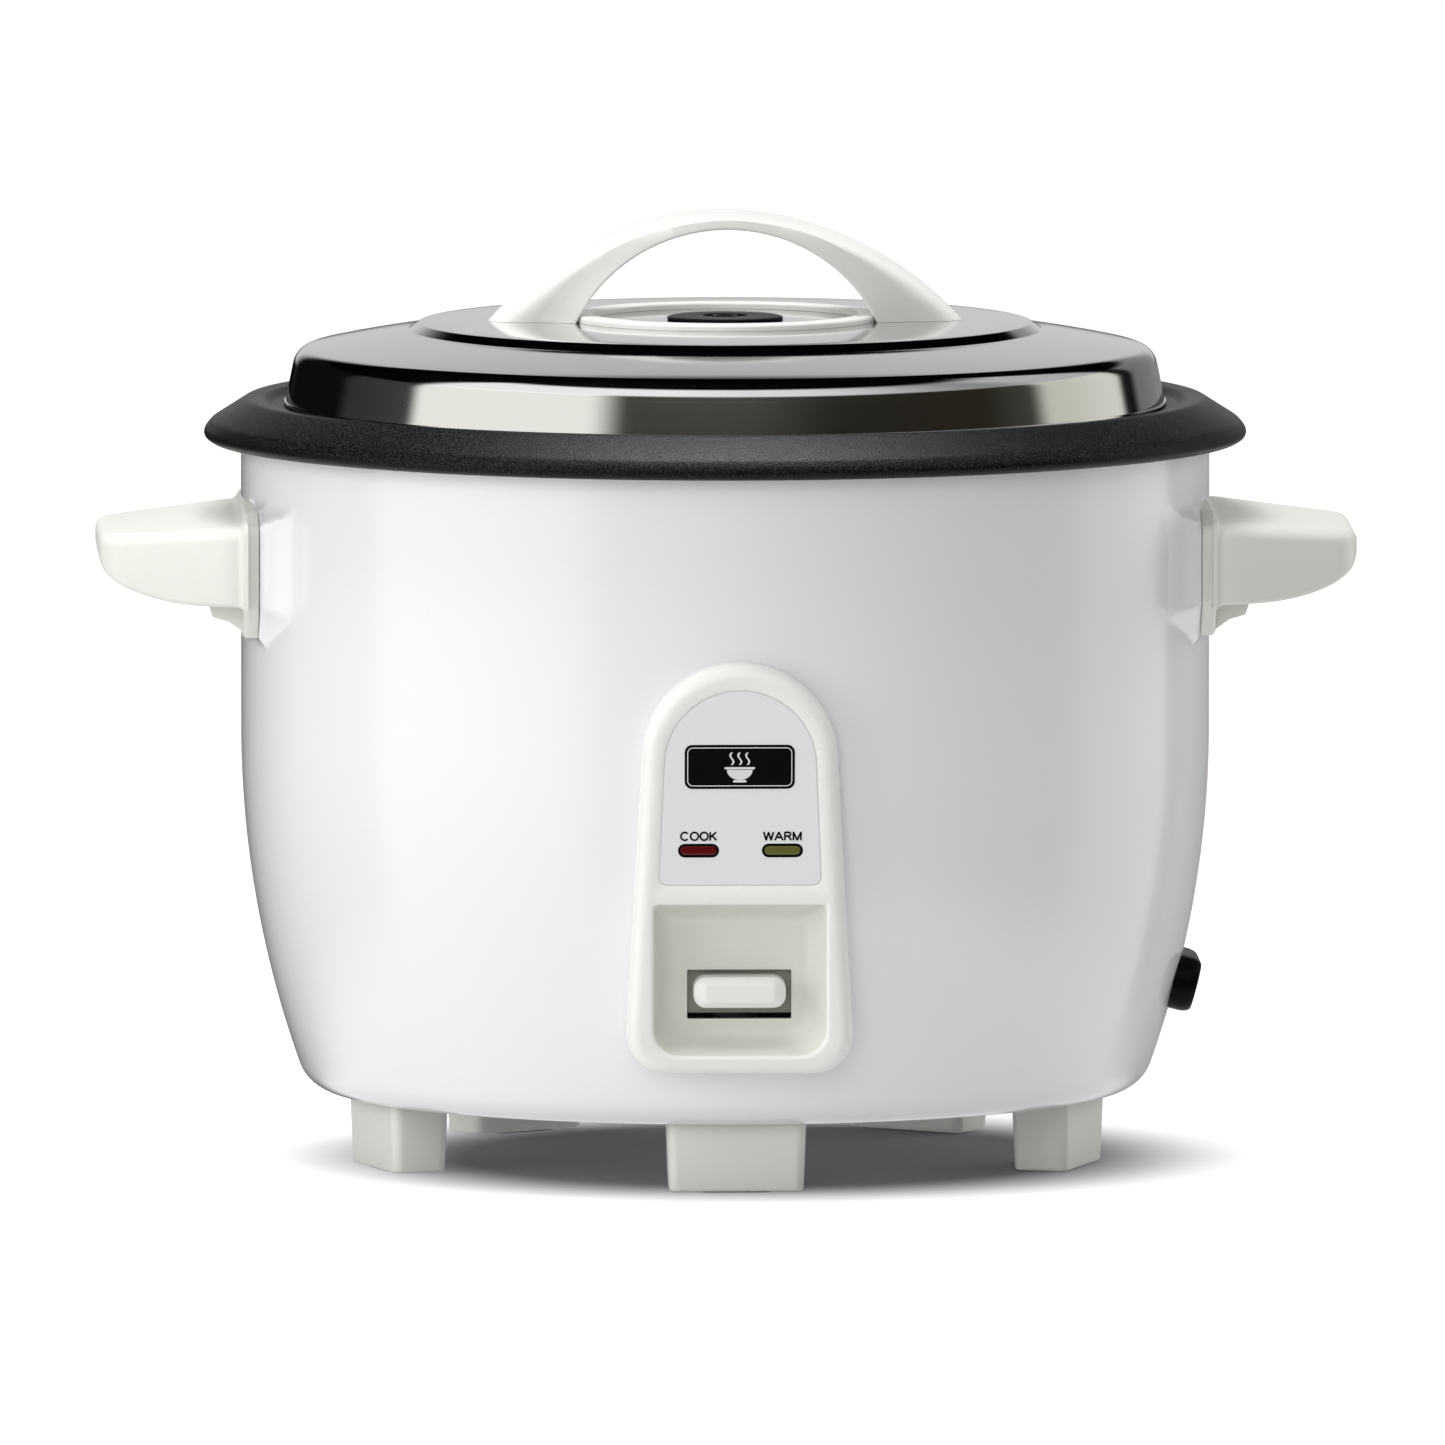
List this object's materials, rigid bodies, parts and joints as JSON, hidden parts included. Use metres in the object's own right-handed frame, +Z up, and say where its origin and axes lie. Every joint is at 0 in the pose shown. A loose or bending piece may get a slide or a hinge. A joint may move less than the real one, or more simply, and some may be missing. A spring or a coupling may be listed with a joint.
{
  "type": "rice cooker",
  "caption": "Large drum rice cooker: white enamelled steel drum, lift-out pot with flared lip, steel lid with arched handle, side grips, and a front panel with a cook lever and lamps.",
  "frame": {"origin": "on the drum's axis, at the surface the rubber pads stand on", "axes": "+X to the side with the power inlet, -Y to the front with the control panel, +Z up"},
  "size_m": [0.434, 0.36, 0.3274],
  "materials": {
    "shell_paint": "gloss white enamel",
    "bare_aluminium": "satin",
    "zinc_steel": "zinc-plated, satin",
    "white_plastic": "gloss",
    "cream_plastic": "semi-gloss, fine grain",
    "pad_rubber": "matt",
    "screw_steel": "bright zinc",
    "label_film": "satin printed film",
    "red_lens": "translucent dark red",
    "green_lens": "translucent olive green",
    "lamp_glass": "clear neon tube",
    "board": "satin moulded",
    "cast_aluminium": "machined face",
    "dark_moulding": "satin thermoset",
    "ceramic": "ceramic sleeve",
    "ferrite": "ground",
    "spring_steel": "bright wire",
    "red_plastic": "gloss",
    "black_plastic": "satin black",
    "brass_parts": "tinned brass",
    "wire_sleeve": "braided heat-proof sleeve",
    "pot_coating": "black speckled non-stick coating over aluminium",
    "lid_steel": "polished stainless steel"
  },
  "bodies": {
    "cooker": {"outer_shell": "shell_paint", "inner_liner": "bare_aluminium", "base_plate": "zinc_steel", "foot_front": "cream_plastic", "foot_right": "cream_plastic", "foot_left": "cream_plastic", "foot_rear_right": "cream_plastic", "foot_rear_left": "cream_plastic", "foot_pads": "pad_rubber", "foot_screws": "screw_steel", "side_handle_right": "cream_plastic", "side_handle_left": "cream_plastic", "side_handle_screws": "screw_steel", "control_panel": "white_plastic", "panel_screws": "screw_steel", "label_plate": "label_film", "cook_lens": "red_lens", "warm_lens": "green_lens", "cook_lamp": "lamp_glass", "warm_lamp": "lamp_glass", "lamp_holder": "board", "heating_plate": "cast_aluminium", "plate_standoffs": "zinc_steel", "plate_screws": "screw_steel", "heater_terminals": "zinc_steel", "heat_reflector": "bare_aluminium", "keep_warm_thermostat": "dark_moulding", "thermal_fuse": "ceramic", "fuse_clip": "zinc_steel", "thermostat_frame": "zinc_steel", "sensor_spring": "spring_steel", "switch_bracket": "zinc_steel", "lever_pin": "zinc_steel", "lever_spring": "spring_steel", "micro_switch": "dark_moulding", "power_inlet": "black_plastic", "inlet_pins": "brass_parts", "inlet_screws": "screw_steel", "wiring": "wire_sleeve", "earth_lug": "brass_parts"},
    "lever": {"switch_lever": "zinc_steel", "lever_paddle": "white_plastic"},
    "magnet_rod": {"magnet": "ferrite", "pull_rod": "zinc_steel"},
    "plunger": {"switch_plunger": "red_plastic"},
    "sensor": {"sensor_cup": "bare_aluminium", "ferrite_disc": "ferrite"},
    "pot": {"inner_pot": "pot_coating"},
    "lid": {"lid_pan": "lid_steel", "lid_handle": "white_plastic", "lid_handle_screws": "screw_steel", "steam_vent": "black_plastic"}
  },
  "joints": [
    {"name": "lever_press", "type": "hinge", "parent": "cooker", "child": "lever", "pos_m": [0, -0.09, 0.066], "axis": [1, 0, 0], "range_deg": [0, 3.4], "stiffness_Nm_per_rad": 2, "springref_deg": -2.86, "deforming": ["lever_spring"]},
    {"name": "magnet_lift", "type": "slide", "parent": "cooker", "child": "magnet_rod", "axis": [0, 0, 1], "range_m": [0, 0.0054]},
    {"name": "plunger_rise", "type": "slide", "parent": "cooker", "child": "plunger", "axis": [0, 0, 1], "range_m": [0, 0.0015]},
    {"name": "sensor_sink", "type": "slide", "parent": "cooker", "child": "sensor", "axis": [0, 0, 1], "range_m": [-0.002, 0], "stiffness_N_per_m": 500, "springref_m": 0.004, "deforming": ["sensor_spring"]},
    {"name": "pot_lift", "type": "slide", "parent": "cooker", "child": "pot", "axis": [0, 0, 1], "range_m": [0, 0.18]},
    {"name": "lid_lift", "type": "slide", "parent": "pot", "child": "lid", "axis": [0, 0, 1], "range_m": [0, 0.1]}
  ],
  "couplings": [
    {"joint": "magnet_lift", "follows": "lever_press", "m_per_rad": 0.09},
    {"joint": "plunger_rise", "follows": "lever_press", "m_per_rad": 0.025}
  ]
}
